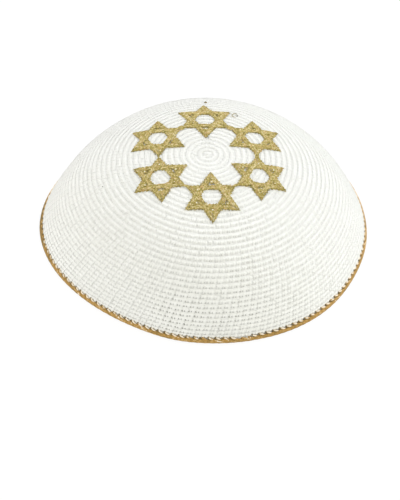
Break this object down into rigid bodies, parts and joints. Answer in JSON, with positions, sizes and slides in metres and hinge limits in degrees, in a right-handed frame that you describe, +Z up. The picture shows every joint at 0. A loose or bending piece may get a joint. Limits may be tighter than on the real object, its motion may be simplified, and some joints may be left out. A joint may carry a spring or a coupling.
{
  "type": "crocheted skullcap",
  "caption": "White crocheted skullcap with gold embroidered six-pointed stars in a ring round its centre and a gold-brown overcast rim.",
  "frame": {"origin": "middle of the rim's outline, on the plane that the rim rests on", "axes": "+Z up through the crown, -Y towards the front, where the crown is steepest, and +X to the right as seen from the front"},
  "size_m": [0.1602, 0.156, 0.0529],
  "materials": {
    "white_cotton": "white cotton yarn, crocheted in rounds",
    "gold_thread": "gold metallic embroidery thread",
    "caramel_thread": "gold-brown yarn, overcast round the rim"
  },
  "bodies": {
    "root": {"crown": "white_cotton", "star_1": "gold_thread", "star_2": "gold_thread", "star_3": "gold_thread", "star_4": "gold_thread", "star_5": "gold_thread", "star_6": "gold_thread", "edging": "caramel_thread"}
  },
  "joints": []
}
